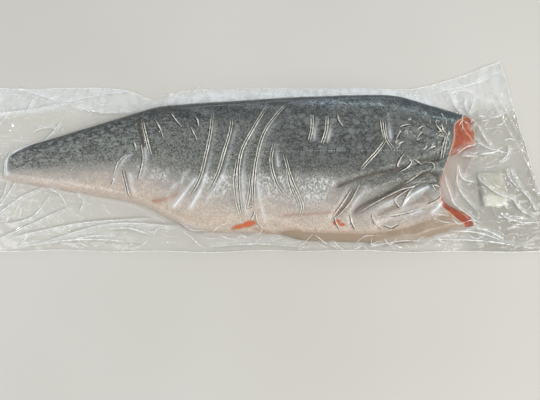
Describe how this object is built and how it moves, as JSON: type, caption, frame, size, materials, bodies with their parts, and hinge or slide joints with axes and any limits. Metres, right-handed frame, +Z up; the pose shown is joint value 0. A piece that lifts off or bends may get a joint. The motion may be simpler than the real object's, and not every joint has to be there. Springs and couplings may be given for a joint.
{
  "type": "raw salmon fillet",
  "caption": "Whole raw side of salmon, skin side up, vacuum-packed in a clear pouch with a flat sealed flange round the fish.",
  "frame": {"origin": "centre of the pouch's outline, on the plane that it rests on", "axes": "+X along the fish from tail to head end, +Y across it from belly to back, +Z up through the skin side"},
  "size_m": [0.622, 0.2178, 0.0333],
  "materials": {
    "pouch_film": "clear, slightly cloudy vacuum film over the fish"
  },
  "bodies": {
    "root": {"vacuum_pouch": "pouch_film"}
  },
  "joints": []
}
